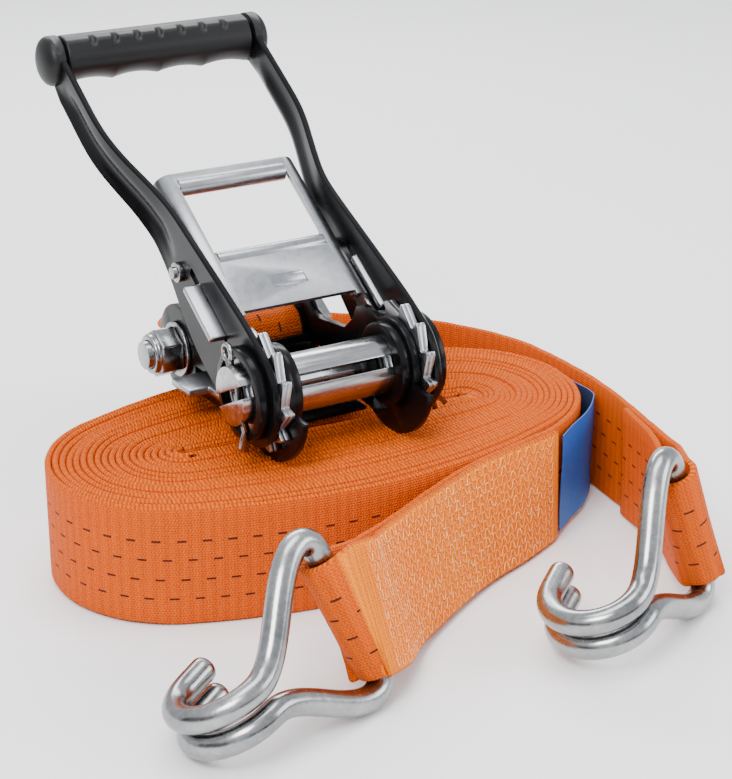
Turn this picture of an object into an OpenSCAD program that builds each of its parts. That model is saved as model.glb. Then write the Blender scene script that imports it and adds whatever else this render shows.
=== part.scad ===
// Two-part ratchet lashing: a long strap wound on edge into a flat roll, a ratchet standing on the
// roll, a short fixed strap on the ratchet's anchor bolt, and a double wire hook on each strap.
// X runs along the roll and the spindle, +Y points from the hooks to the back, +Z is up.
// The origin is the middle of the roll's underside.

/* [Webbing] */
// Width of both straps
web_w = 50; // [49:0.5:50.5]
// Thickness of one layer of webbing
web_t = 3; // [2.4:0.1:3]
// Half length of the wound roll
roll_half_l = 118; // [114:1:118]
// Half width of the wound roll
roll_half_w = 64; // [61:1:64]
// Radius of the roll's two ends
roll_end_r = 50; // [47:1:50]

/* [Ratchet frame] */
// Clear width between the two frame plates
spool_gap = 54; // [53:0.5:55]
// Thickness of the frame and handle plates
plate_t = 3; // [2.6:0.1:3]
// Radius of the round foot lobes of the frame plates
lobe_r = 29.9; // [29:0.1:29.9]
// Distance from the spindle back to the anchor bolt
bolt_back = 81; // [80:0.5:82]
// Diameter of the anchor bolt
bolt_d = 12; // [10:1:12]

/* [Spindle and wheels] */
// Diameter of the slotted spindle
spindle_d = 24; // [24:1:24]
// Width of the slot between the two half bars
slot_w = 5; // [4:0.5:5.5]
// Half length of the spindle
spindle_half_l = 46.5; // [46:0.5:48]
// Number of teeth on each ratchet wheel
teeth = 12; // [12:1:12]
// Radius of the wheels at the tooth tips
wheel_tip_r = 25; // [24.5:0.1:25]
// Radius of the wheels between the teeth
wheel_root_r = 20.5; // [20:0.1:20.8]

/* [Handle] */
// Angle of the handle above the horizontal as it stands
handle_angle = 32; // [30:1:34]
// Distance from the spindle to the middle of the grip
grip_reach = 191; // [188:1:195]
// Diameter of the grip
grip_d = 21; // [20:0.5:22]
// Half width over the grip and its caps
grip_half_l = 54; // [53:0.5:56]

/* [Hooks] */
// Diameter of the hook wire
wire_d = 10; // [9:0.5:10]
// Half width of the hook's back bar, between wire centres
bar_half = 33; // [32.5:0.5:33.5]
// Length from the back bar to the start of the hook bends
shank_l = 52; // [50:1:56]
// Radius of the hook bends at the wire's centre
bend_r = 18; // [17:0.5:19]

/* [Hidden] */
fine = 96;
fit = 0.08;
spindle = [-6, -21, 80];
frame_in = spool_gap / 2;
frame_out = frame_in + plate_t;
wheel_in = frame_out + 0.6;
wheel_t = 2;
wheel_out = wheel_in + 2 * wheel_t;
side_in = wheel_out + 0.6;
side_out = side_in + plate_t;
slot_tilt = -27;
bolt_down = -10;
bolt_lobe_r = 19.5;
spacer_r = 8;
pin_x = 43;
grip_side = 46;

// Straight helpers for vectors and paths
function unit(v) = v / norm(v);
function mix(a, b, k) = a + (b - a) * k;
function turn_x(v, a) = [v.x, v.y * cos(a) - v.z * sin(a), v.y * sin(a) + v.z * cos(a)];
function turn_y(v, a) = [v.x * cos(a) + v.z * sin(a), v.y, -v.x * sin(a) + v.z * cos(a)];
function turn_z(v, a) = [v.x * cos(a) - v.y * sin(a), v.x * sin(a) + v.y * cos(a), v.z];
function turn(v, r) = turn_z(turn_y(turn_x(v, r.x), r.y), r.z);
function heading(path, i) = unit(path[min(i + 1, len(path) - 1)] - path[max(i - 1, 0)]);
function square_to(v, t) = unit(v - t * (v * t));

// Smooth curve through points, with a given number of steps for each span
function bend_point(p, i, k) = let (
    a = p[max(i - 1, 0)], b = p[i], c = p[i + 1], d = p[min(i + 2, len(p) - 1)])
    0.5 * (2 * b + (c - a) * k + (2 * a - 5 * b + 4 * c - d) * k * k
        + (3 * b - a - 3 * c + d) * k * k * k);
function smooth(p, steps) = [for (i = [0 : len(p) - 2]) for (s = [0 : steps - 1])
    bend_point(p, i, s / steps), p[len(p) - 1]];

// Closed skin over equal rings of points, with flat ends
module skin(rings) {
    n = len(rings[0]);
    last = len(rings) - 1;
    faces = [
        [for (j = [n - 1 : -1 : 0]) j],
        for (i = [0 : last - 1]) for (j = [0 : n - 1])
            each [[i * n + j, i * n + (j + 1) % n, (i + 1) * n + j],
                [i * n + (j + 1) % n, (i + 1) * n + (j + 1) % n, (i + 1) * n + j]],
        [for (j = [0 : n - 1]) last * n + j]];
    polyhedron(points = [for (r = rings) each r], faces = faces, convexity = 10);
}

// Flat band that follows a path, with its width along the given directions
module band(path, ups, w, t) {
    skin([for (i = [0 : len(path) - 1]) let (
        h = heading(path, i), u = square_to(ups[i], h), n = cross(h, u))
        [path[i] + n * t / 2 - u * w / 2, path[i] + n * t / 2 + u * w / 2,
            path[i] - n * t / 2 + u * w / 2, path[i] - n * t / 2 - u * w / 2]]);
}

// Round wire that follows a path; the side direction keeps its rings from twisting
function wire_side(path, i, s) = i == 0 ? square_to(s, heading(path, 0))
    : square_to(wire_side(path, i - 1, s), heading(path, i));
module wire(path, radii, sides, side) {
    skin([for (i = [0 : len(path) - 1]) let (
        h = heading(path, i), u = wire_side(path, i, side), v = cross(h, u))
        [for (j = [0 : sides - 1])
            path[i] + radii[i] * (u * cos(360 * j / sides) - v * sin(360 * j / sides))]]);
}

// ---- Long strap ----

// Outline of the roll: two end arcs joined by two shallow side arcs
module roll_outline() {
    end_x = roll_half_l - roll_end_r;
    side_r = (end_x * end_x + roll_half_w * roll_half_w - roll_end_r * roll_end_r)
        / (2 * (roll_half_w - roll_end_r));
    side_a = atan2(end_x, side_r - roll_half_w);
    end_a = 90 - side_a;
    right = [for (k = [-12 : 12]) let (a = end_a * k / 12) [end_x, 0] + roll_end_r * [cos(a), sin(a)]];
    top = [for (k = [11 : -1 : -11]) let (a = side_a * k / 12)
        [side_r * sin(a), roll_half_w - side_r + side_r * cos(a)]];
    half = concat(right, top);
    polygon(concat(half, [for (p = half) -p]));
}

module long_strap_roll() color("darkorange") linear_extrude(web_w) roll_outline();

// Hook places: middle of the back bar, and turns about X, Y and Z
lead_bar = [-60, -127, 37.5];
lead_turn = [-21, -14.5, 26.5];
short_bar = [90, -132, 38.2];
short_turn = [-12, -15.5, 34];
function from_bar(p, bar, r) = bar + turn(p, r);

// Loop of webbing round a hook's back bar, seen along the bar
loop_r = wire_d / 2 + 1.4 + web_t / 2;
web_drop = -2.2;
function bar_loop(bar, r, side, lean) = [for (a = [100 : 20 : 260])
    from_bar([loop_r * cos(a + side * lean), side * loop_r * sin(a + side * lean), web_drop], bar, r)];
// Gap between the two layers, which opens over the last steps before the bar
fold_gap = web_t + 0.15;
function layer_gap(k) = fold_gap + 6 * pow(max(0, 1 - k / 4), 2);

// Route of the long strap from the roll's right end to its hook, at the middle of its width
lead_route = [[119.8, 0, 25], [117.5, -15, 25], [110, -30.5, 25], [97, -43.5, 25], [79, -54.5, 25],
    [56, -63, 25], [32, -71, 25], [6, -84, 25], [-20, -99.5, 26], [-42, -113, 28]];
lead_ups = [[0, 0, 1], [0, 0, 1], [0, 0, 1], [0, 0, 1], [0, 0.04, 1], [0, 0.16, 1],
    [-0.02, 0.22, 1], [-0.06, 0.26, 1], [-0.14, 0.28, 1], [-0.25, 0.28, 1]];
fold_from = 12;

module long_strap_lead() {
    out = smooth(lead_route, 3);
    out_up = smooth(lead_ups, 3);
    loop = bar_loop(lead_bar, lead_turn, 1, 12);
    bar_up = turn([0, 0, 1], lead_turn);
    last = len(out) - 1;
    back = [for (i = [last : -1 : fold_from]) let (h = heading(out, i), u = square_to(out_up[i], h))
        out[i] + cross(u, h) * layer_gap(last - i)];
    back_up = [for (i = [last : -1 : fold_from]) out_up[i]];
    color("darkorange") band(concat(out, loop, back),
        concat(out_up, [for (p = loop) bar_up], back_up), web_w, web_t);
}

// ---- Short strap ----

// Route from behind the anchor bolt, down behind the roll and round its right end
short_route = [[-6, 73, 77], [-6, 83, 71.5], [-4, 93, 63], [2, 104, 53], [14, 113, 43], [32, 117, 34.5],
    [56, 114, 28], [82, 101, 25.5], [103, 82, 25.2], [118, 59, 25.2], [126, 35, 25.2], [128.5, 10, 25.2],
    [128, -16, 25.2], [124.5, -44, 25.2], [118, -74, 26.5], [111.4, -104.6, 29.8]];
short_ups = [[-1, 0, 0], [-1, 0, 0.05], [-1, 0.1, 0.35], [-0.8, 0.2, 0.7], [-0.5, 0.1, 0.95],
    [-0.2, 0, 1], [-0.05, 0, 1], [0, 0, 1], [0, 0, 1], [0, 0, 1], [0, 0, 1], [0, 0, 1],
    [0, 0, 1], [0, 0, 1], [-0.05, 0, 1], [-0.15, 0, 1]];

module short_strap() {
    bolt = [spindle.x, spindle.y + bolt_back, spindle.z + bolt_down];
    eye_r = spacer_r + 0.4 + web_t / 2;
    eye = [for (a = [300 : -20 : 80]) bolt + eye_r * [0, cos(a), sin(a)]];
    out = smooth(short_route, 3);
    out_up = smooth(short_ups, 3);
    loop = bar_loop(short_bar, short_turn, -1, 36);
    bar_up = turn([0, 0, 1], short_turn);
    last = len(out) - 1;
    back = [for (i = [last : -1 : last - 6]) let (h = heading(out, i), u = square_to(out_up[i], h))
        out[i] - cross(u, h) * layer_gap(last - i)];
    back_up = [for (i = [last : -1 : last - 6]) out_up[i]];
    color("darkorange") band(concat(eye, out, loop, back),
        concat([for (p = eye) [-1, 0, 0]], out_up, [for (p = loop) bar_up], back_up), web_w, web_t);
}

// Folded cloth tag that is sewn in under the long strap's cut end
module label_tag() {
    out = [for (a = [-70 : 4 : -22]) [roll_half_l - roll_end_r, 0, 25]
        + (56.2 + pow(max(0, -a - 55) / 10, 2)) * [cos(a), sin(a), 0]];
    color("steelblue") band(out, [for (p = out) [0, 0, 1]], 44, 1.6);
}

// ---- Hooks ----

// One half of a double hook, from the middle of the back bar to the tip
corner_r = 7;
leg_gap = 5.7;
tip_l = 10;
function hook_half(s) = concat(
    [[0, 0, 0], [0, 0, s * (bar_half - corner_r)]],
    [for (a = [18 : 18 : 90])
        [-corner_r + corner_r * cos(a), 0, s * (bar_half - corner_r + corner_r * sin(a))]],
    [for (k = [0.1 : 0.1 : 1]) [-corner_r - (shank_l - corner_r) * k, 0,
        s * mix(bar_half, leg_gap, k * k * (3 - 2 * k))]],
    [for (a = [15 : 15 : 180]) [-shank_l - bend_r * sin(a), bend_r - bend_r * cos(a), s * leg_gap]],
    [for (a = tip_steps) [-shank_l + tip_l + wire_d / 2 * sin(a), 2 * bend_r, s * leg_gap]]);
tip_steps = [0, 30, 55, 75];

// The rounded tips come from rings that shrink over the last stretch
module double_hook() {
    upper = hook_half(1);
    lower = hook_half(-1);
    half_radii = [for (i = [1 : len(upper) - 1]) let (left = len(tip_steps) - len(upper) + i)
        wire_d / 2 * (left < 0 ? 1 : cos(tip_steps[left]))];
    path = concat([for (i = [len(lower) - 1 : -1 : 1]) lower[i]],
        [for (i = [1 : len(upper) - 1]) upper[i]]);
    radii = concat([for (i = [len(half_radii) - 1 : -1 : 0]) half_radii[i]], half_radii);
    color("gainsboro") wire(path, radii, 12, [0, 1, 1]);
}

module long_strap_hook() translate(lead_bar) rotate(lead_turn) double_hook();
module short_strap_hook() translate(short_bar) rotate(short_turn) double_hook();

// ---- Ratchet frame ----

module at_spindle() translate(spindle) children();
module along_x(r, x0, x1) translate([x0, 0, 0]) rotate([0, 90, 0])
    cylinder(r = r, h = x1 - x0, $fn = fine);
// Flat plate from an outline in the Y-Z plane
module side_plate(x0, t) translate([x0, 0, 0]) rotate([90, 0, 90]) linear_extrude(t) children();

module frame_outline() {
    arm = [[-4, 12], [14, 17], [22, 18], [27.5, 15.8], [31, 9], [38, 3], [60, 0], [bolt_back - 2, 7],
        [bolt_back + 12, 5], [bolt_back + 12, -20], [bolt_back - 10, -26.5], [60, -24.5], [40, -24],
        [14, -25.5], [0, -20]];
    circle(r = 19, $fn = fine);
    polygon(arm);
    translate([bolt_back, bolt_down]) circle(r = bolt_lobe_r, $fn = fine);
    intersection() {
        circle(r = lobe_r, $fn = fine);
        translate([-32, -32]) square([56, 27]);
    }
}

module frame_plate(x0) at_spindle() color([0.09, 0.09, 0.1]) difference() {
    side_plate(x0, plate_t) frame_outline();
    along_x(spindle_d / 2 + fit, x0 - 1, x0 + plate_t + 1);
    translate([0, bolt_back, bolt_down]) along_x(bolt_d / 2 + fit, x0 - 1, x0 + plate_t + 1);
    translate([x0 - 1, 29.2, -17.2]) cube([plate_t + 2, 36.6, 4.4]);
}
module frame_plate_left() frame_plate(-frame_out);
module frame_plate_right() frame_plate(frame_in);

module frame_web() at_spindle() color([0.09, 0.09, 0.1])
    translate([-frame_in, 19, -28]) cube([spool_gap, 26, 2]);

module spring_bracket() at_spindle() color([0.09, 0.09, 0.1])
    translate([-frame_in, 66.4, -21]) cube([spool_gap, 2, 12]);

module anchor_bolt() at_spindle() translate([0, bolt_back, bolt_down]) color("silver") {
    along_x(bolt_d / 2, -frame_out - 17, frame_out + 2.2);
    translate([frame_out + 2.2, 0, 0]) rotate([0, 90, 0]) cylinder(r = 11, h = 7.5, $fn = 6);
}

module anchor_nut() at_spindle() translate([0, bolt_back, bolt_down]) color("silver") difference() {
    union() {
        translate([-frame_out - 12.2, 0, 0]) rotate([0, 90, 0]) cylinder(r = 11, h = 10, $fn = 6);
        along_x(8.6, -frame_out - 14.7, -frame_out - 12.2);
    }
    along_x(bolt_d / 2 + fit, -frame_out - 20, -frame_out);
}

module anchor_washers() at_spindle() translate([0, bolt_back, bolt_down]) color("silver")
    for (x0 = [-frame_out - 2, frame_out + 0.2]) difference() {
        along_x(12, x0, x0 + 1.8);
        along_x(bolt_d / 2 + fit, x0 - 1, x0 + 3);
    }

module anchor_spacer() at_spindle() translate([0, bolt_back, bolt_down]) color("dimgray") difference() {
    along_x(spacer_r, -frame_in + 0.1, frame_in - 0.1);
    along_x(bolt_d / 2 + fit, -frame_in - 1, frame_in + 1);
}

// Flat bar in the frame slots; its two teeth stop the wheels
module frame_pawl() at_spindle() color("silver") difference() {
    union() {
        translate([-frame_in + 0.5, 30, -16.5]) cube([spool_gap - 1, 30, 3]);
        for (s = [-1, 1]) {
            translate([s > 0 ? 0 : -wheel_out, 30, -16.5]) cube([wheel_out, 30, 3]);
            translate([s > 0 ? 0 : -44, 43, -16.5]) cube([44, 17, 3]);
            translate([s > 0 ? wheel_in : -wheel_out, 19.4, -16.5]) cube([2 * wheel_t, 12, 3]);
        }
    }
    translate([-6, 47, -18]) cube([12, 15, 6]);
}

// Spring wire: eight steps a turn
function coil_path(r, turns, l) = [for (k = [0 : turns * 8])
    [r * cos(45 * k), l * k / (turns * 8), r * sin(45 * k)]];
module coil_spring(r, wire_r, turns, l) let (path = coil_path(r, turns, l))
    wire(path, [for (p = path) wire_r], 6, [0, 1, 0]);
module frame_pawl_spring() at_spindle() color("silver")
    translate([0, 47.8, -15]) coil_spring(2.6, 0.5, 6, 17.8);

// ---- Spindle ----

module slotted(s) at_spindle() rotate([slot_tilt, 0, 0]) color("silver") difference() {
    along_x(spindle_d / 2, -spindle_half_l, spindle_half_l);
    translate([-60, -30, s > 0 ? slot_w / 2 - 60 : -slot_w / 2]) cube([120, 60, 60]);
    for (x = [-pin_x, pin_x]) translate([x, 0, -30]) cylinder(d = 4, h = 60, $fn = fine);
}
module spindle_bar_upper() slotted(1);
module spindle_bar_lower() slotted(-1);

// Saw-toothed wheel outline: each tooth has a radial face and a sloping back
function wheel_points() = [for (i = [0 : teeth - 1]) each let (a = 360 * i / teeth) [
    wheel_tip_r * [cos(a), sin(a)], (wheel_tip_r - 0.2) * [cos(a + 4), sin(a + 4)],
    wheel_root_r * [cos(a + 25), sin(a + 25)], wheel_root_r * [cos(a + 28), sin(a + 28)]]];
tooth_turn = -26;

module wheel(x0) at_spindle() color("lightgray") difference() {
    side_plate(x0, wheel_t) rotate(tooth_turn) polygon(wheel_points());
    along_x(spindle_d / 2 + fit, x0 - 1, x0 + wheel_t + 1);
}
module wheel_left_outer() wheel(-wheel_out);
module wheel_left_inner() wheel(-wheel_out + wheel_t);
module wheel_right_inner() wheel(wheel_in);
module wheel_right_outer() wheel(wheel_in + wheel_t);

// Split pin across both half bars, with an eye above and spread legs below
module cotter_pin(x) at_spindle() rotate([slot_tilt, 0, 0]) translate([x, 0, 0]) color("silver") {
    translate([0, 0, -15]) cylinder(d = 3.4, h = 29.5, $fn = fine);
    translate([0, 0, 17.2]) rotate([0, 90, 0]) rotate_extrude($fn = fine)
        translate([3.2, 0]) circle(d = 2.2, $fn = 24);
    out = x < 0 ? 1 : -1;
    for (a = [6, 34]) translate([0, 0, -14.4]) rotate([a > 20 ? 6 : -14, 180 + out * a, 0])
        cylinder(r = 1.2, h = 8.6, $fn = fine);
}
module cotter_pin_left() cotter_pin(-pin_x);
module cotter_pin_right() cotter_pin(pin_x);

module spindle_washers() at_spindle() color("silver")
    for (x0 = [-side_out - 2, side_out + 0.5]) difference() {
        along_x(15.5, x0, x0 + 1.5);
        along_x(spindle_d / 2 + fit, x0 - 1, x0 + 3);
    }

// ---- Handle, drawn with Y from the spindle to the grip, then tilted ----

module on_handle() at_spindle() rotate([handle_angle, 0, 0]) children();

// Edge of a handle plate in the tilted Y-Z plane
handle_edge = [[0, -22.5], [20, -23.5], [38, -23.5], [52, -21.5], [64, -18], [76, -14], [90, -10.5],
    [106, -9], [126, -9], [150, -9], [grip_reach, -8.5], [grip_reach + 5, -5],
    [grip_reach + 6, 0], [grip_reach + 5, 5], [grip_reach, 7.5], [150, 8], [120, 9], [96, 11], [70, 14.5],
    [45, 18], [18, 21.5], [0, 22.5]];
// Place of the spring posts, along the handle and across it
post_u = 68;
post_w = -4;
// Half distance from the middle to the plate's inner face, along the handle
handle_bow = [[side_in, -30], [side_in, 88], [side_in + 0.8, 96], [side_in + 2.6, 104], [side_in + 8.8, 128],
    [grip_side - 0.8, 136], [grip_side, 144], [grip_side, grip_reach + 12]];

module handle_plate(s) on_handle() mirror([s > 0 ? 0 : 1, 0, 0]) color([0.09, 0.09, 0.1]) difference() {
    union() {
        intersection() {
            side_plate(side_in - 2, 20) polygon(handle_edge);
            translate([0, 0, -40]) linear_extrude(80)
                polygon(concat(handle_bow,
                    [for (i = [len(handle_bow) - 1 : -1 : 0]) handle_bow[i] + [plate_t, 0]]));
        }
        along_x(22.5, side_in, side_out);
    }
    along_x(spindle_d / 2 + fit, side_in - 1, side_out + 1);
    translate([side_in - 1, 23.5, 2.6]) cube([plate_t + 2, 38, 3.4]);
    translate([0, post_u, post_w]) along_x(2.5 + fit, side_in - 1, side_out + 1);
}
module handle_plate_left() handle_plate(-1);
module handle_plate_right() handle_plate(1);

// Round a profile about the grip's axis
module about_grip() on_handle() translate([0, grip_reach, 0]) rotate([0, 90, 0]) children();

module grip() color([0.16, 0.16, 0.17]) about_grip() difference() {
    cylinder(d = grip_d, h = 2 * grip_side - 2.4, center = true, $fn = fine);
    cylinder(d = 10.2, h = 120, center = true, $fn = fine);
}

module grip_cap(s) color([0.16, 0.16, 0.17]) about_grip() mirror([0, 0, s > 0 ? 0 : 1]) difference() {
    cap_in = grip_side + plate_t + 0.1;
    rotate_extrude($fn = fine) polygon([[0, cap_in], [grip_d / 2 + 0.5, cap_in],
        [grip_d / 2, grip_half_l - 2], [grip_d / 2 - 2.4, grip_half_l - 0.6], [0, grip_half_l]]);
    cylinder(d = 6.2, h = grip_side + plate_t + 2, $fn = fine);
}
module grip_cap_left() grip_cap(-1);
module grip_cap_right() grip_cap(1);

module grip_rod() color("silver") about_grip()
    cylinder(d = 10, h = 2 * grip_side - 0.4, center = true, $fn = fine);

// Stepped rivets that hold the outer ends of the slide springs
module spring_posts() on_handle() color("silver") for (s = [-1, 1]) mirror([s > 0 ? 0 : 1, 0, 0])
    translate([0, post_u, post_w]) {
        along_x(2.5, 29.3, side_out + 4);
        along_x(4.2, side_out + 0.1, side_out + 2.2);
    }

// ---- Release slide ----

sheet_t = 2;
sheet_top = 6;
flange_x = 33.2;
// Channel section of the slide: flat top with rounded shoulders and two side flanges
module channel(low) {
    polygon(concat([[-flange_x, low]],
        [for (a = [180 : -15 : 90]) [-flange_x + 6 + 6 * cos(a), sheet_top - 6 + 6 * sin(a)]],
        [for (a = [90 : -15 : 0]) [flange_x - 6 + 6 * cos(a), sheet_top - 6 + 6 * sin(a)]], [[flange_x, low]],
        [[flange_x - sheet_t, low]],
        [for (a = [0 : 15 : 90]) [flange_x - 6 + 4 * cos(a), sheet_top - 6 + 4 * sin(a)]],
        [for (a = [90 : 15 : 180]) [-flange_x + 6 + 4 * cos(a), sheet_top - 6 + 4 * sin(a)]],
        [[-flange_x + sheet_t, low]]));
}

module slide_plate() on_handle() color("lightgray") {
    difference() {
        translate([0, 112, 0]) rotate([90, 0, 0]) linear_extrude(86.4) channel(-6.5);
        translate([-25.5, 66, -20]) cube([51, 38, 40]);
        translate([-26, 20, -20]) cube([52, 15, 40]);
        translate([-40, 57.5, -20]) cube([80, 74, 20]);
        for (s = [-1, 1]) translate([s > 0 ? 26 : -36, 20, 1]) cube([10, 13, 9]);
        translate([0, 47, sheet_top + 8.3]) along_x(9, -8, 8);
    }
    for (y = [64, 106]) translate([0, y, 3.4]) along_x(3.8, -25, 25);
}

// Finger wings that reach out through the slots of the handle plates
module slide_wings() on_handle() color("lightgray") for (s = [-1, 1]) mirror([s > 0 ? 0 : 1, 0, 0])
    translate([flange_x, 25, 3]) cube([12, 28, 2.6]);

module slide_rivets() on_handle() color("silver") for (s = [-1, 1]) for (y = [40, 54])
    mirror([s > 0 ? 0 : 1, 0, 0]) translate([0, y, -2.7])
        intersection() {
            along_x(2.6, flange_x - sheet_t - 1.8, flange_x - sheet_t - 0.05);
            translate([flange_x - sheet_t + 1.4, 0, 0]) sphere(3.9, $fn = fine);
        }

module slide_springs() on_handle() color("silver") for (x = [-30.4, 30.4])
    translate([x, 55, -9.4]) coil_spring(2, 0.45, 5, 10.2);

long_strap_roll();
long_strap_lead();
short_strap();
label_tag();
long_strap_hook();
short_strap_hook();
frame_plate_left();
frame_plate_right();
frame_web();
spring_bracket();
anchor_bolt();
anchor_nut();
anchor_washers();
anchor_spacer();
frame_pawl();
frame_pawl_spring();
spindle_bar_upper();
spindle_bar_lower();
wheel_left_outer();
wheel_left_inner();
wheel_right_inner();
wheel_right_outer();
cotter_pin_left();
cotter_pin_right();
spindle_washers();
handle_plate_left();
handle_plate_right();
grip();
grip_cap_left();
grip_cap_right();
grip_rod();
spring_posts();
slide_plate();
slide_wings();
slide_rivets();
slide_springs();
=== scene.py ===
import bpy
import math
import numpy as np
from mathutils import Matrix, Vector


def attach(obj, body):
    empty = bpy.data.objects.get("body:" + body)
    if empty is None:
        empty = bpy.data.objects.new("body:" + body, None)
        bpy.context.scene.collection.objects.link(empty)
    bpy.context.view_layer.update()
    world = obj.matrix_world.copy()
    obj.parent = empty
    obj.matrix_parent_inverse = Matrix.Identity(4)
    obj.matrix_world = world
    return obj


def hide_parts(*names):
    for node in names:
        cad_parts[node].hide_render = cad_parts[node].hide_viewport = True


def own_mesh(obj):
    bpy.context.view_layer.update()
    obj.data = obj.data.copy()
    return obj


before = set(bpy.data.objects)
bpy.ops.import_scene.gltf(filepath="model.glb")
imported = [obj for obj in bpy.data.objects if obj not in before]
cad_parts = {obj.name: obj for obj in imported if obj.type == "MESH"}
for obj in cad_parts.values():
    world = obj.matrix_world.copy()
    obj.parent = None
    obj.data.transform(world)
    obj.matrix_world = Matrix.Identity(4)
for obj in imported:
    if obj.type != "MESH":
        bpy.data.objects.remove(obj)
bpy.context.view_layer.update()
mm = 0.001
spindleAt = np.array([-6.0, -21.0, 80.0])
handleTilt = math.radians(32)


# Small helpers

def unit(v):
    return v / np.maximum(np.linalg.norm(v, axis=-1, keepdims=True), 1e-12)


def smoothPath(points, steps):
    # Catmull-Rom: 0.5 (2b + (c-a)k + (2a-5b+4c-d)k^2 + (3b-a-3c+d)k^3) on each span
    p = np.array(points, float)
    a = p[np.maximum(np.arange(len(p) - 1) - 1, 0)]
    b, c = p[:-1], p[1:]
    d = p[np.minimum(np.arange(len(p) - 1) + 2, len(p) - 1)]
    k = (np.arange(steps) / steps)[None, :, None]
    a, b, c, d = (x[:, None, :] for x in (a, b, c, d))
    curve = 0.5 * (2 * b + (c - a) * k + (2 * a - 5 * b + 4 * c - d) * k ** 2
                   + (3 * b - a - 3 * c + d) * k ** 3)
    return np.vstack([curve.reshape(-1, p.shape[1]), p[-1:]])


def evenly(rows, spacing):
    # Resamples rows at equal distances along their first three columns
    step = np.linalg.norm(np.diff(rows[:, :3], axis=0), axis=1)
    s = np.concatenate([[0], np.cumsum(step)])
    keep = np.concatenate([[True], step > 1e-7])
    at = np.linspace(0, s[-1], max(int(round(s[-1] / spacing)), 2) + 1)
    return np.stack([np.interp(at, s[keep], rows[keep, i]) for i in range(rows.shape[1])], 1)


def relax(rows, passes):
    # Each inner row moves half way to the mean of its two neighbours
    for _ in range(passes):
        rows[1:-1] = 0.5 * rows[1:-1] + 0.25 * (rows[:-2] + rows[2:])
    return rows


def turned(v, degrees):
    # Turns about X, then Y, then Z
    x, y, z = (math.radians(a) for a in degrees)
    rx = np.array([[1, 0, 0], [0, math.cos(x), -math.sin(x)], [0, math.sin(x), math.cos(x)]])
    ry = np.array([[math.cos(y), 0, math.sin(y)], [0, 1, 0], [-math.sin(y), 0, math.cos(y)]])
    rz = np.array([[math.cos(z), -math.sin(z), 0], [math.sin(z), math.cos(z), 0], [0, 0, 1]])
    return np.asarray(v, float) @ (rz @ ry @ rx).T


def onHandle(v):
    # x, distance u along the handle and height w above its middle plane, in millimetres
    v = np.asarray(v, float)
    c, s = math.cos(handleTilt), math.sin(handleTilt)
    return spindleAt + np.stack([v[..., 0], v[..., 1] * c - v[..., 2] * s, v[..., 1] * s + v[..., 2] * c], -1)


def makeMesh(name, points, quads, material, attributes=None, sharp=None):
    # Points in millimetres; edges steeper than sharp degrees stay sharp
    mesh = bpy.data.meshes.new(name)
    vertices = [tuple(p) for p in np.asarray(points) * mm]
    mesh.from_pydata(vertices, [], [tuple(int(i) for i in q) for q in quads])
    mesh.validate()
    mesh.polygons.foreach_set("use_smooth", np.ones(len(mesh.polygons), bool))
    for key, value in (attributes or {}).items():
        value = np.asarray(value, np.float32)
        kind = "FLOAT" if value.ndim == 1 else "FLOAT_VECTOR"
        layer = mesh.attributes.new(key, kind, "POINT")
        layer.data.foreach_set("value" if value.ndim == 1 else "vector", value.ravel())
    if sharp:
        mesh.set_sharp_from_angle(angle=math.radians(sharp))
    mesh.materials.append(material)
    piece = bpy.data.objects.new(name, mesh)
    bpy.context.scene.collection.objects.link(piece)
    return piece


def skinQuads(count, sides, loop=False):
    # Quads between neighbouring rings, and a face on each end unless the rings make a loop
    i, j = np.meshgrid(np.arange(count if loop else count - 1), np.arange(sides), indexing="ij")
    nextRow, nextSide = (i + 1) % count, (j + 1) % sides
    quads = np.stack([i * sides + j, i * sides + nextSide,
                      nextRow * sides + nextSide, nextRow * sides + j], -1)
    quads = quads.reshape(-1, 4).tolist()
    if not loop:
        quads.append(np.arange(sides)[::-1].tolist())
        quads.append((np.arange(sides) + (count - 1) * sides).tolist())
    return quads


def tubeRings(path, radii, sides, side):
    # Rings square to the path; u is carried along so that they don't twist
    heading = unit(np.gradient(path, axis=0))
    u = np.zeros_like(path)
    last = np.array(side, float)
    for i, h in enumerate(heading):
        last = unit(last - h * (last @ h))
        u[i] = last
    v = np.cross(heading, u)
    a = np.linspace(0, 2 * np.pi, sides, endpoint=False)[None, :, None]
    return path[:, None] + radii[:, None, None] * (u[:, None] * np.cos(a) + v[:, None] * np.sin(a))


def tube(name, path, radii, sides, side, material):
    rings = tubeRings(path, radii, sides, side)
    return makeMesh(name, rings.reshape(-1, 3), skinQuads(len(path), sides), material)


def joinMeshes(name, parts, material):
    # parts are (points, quads) pairs
    points, quads, offset = [], [], 0
    for p, q in parts:
        points.append(p)
        quads += [[i + offset for i in f] for f in q]
        offset += len(p)
    return makeMesh(name, np.vstack(points), quads, material)


def place(piece, body, slot, *stoodFor):
    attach(piece, body)
    if stoodFor:
        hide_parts(*stoodFor)
    return piece


# Materials

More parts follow.
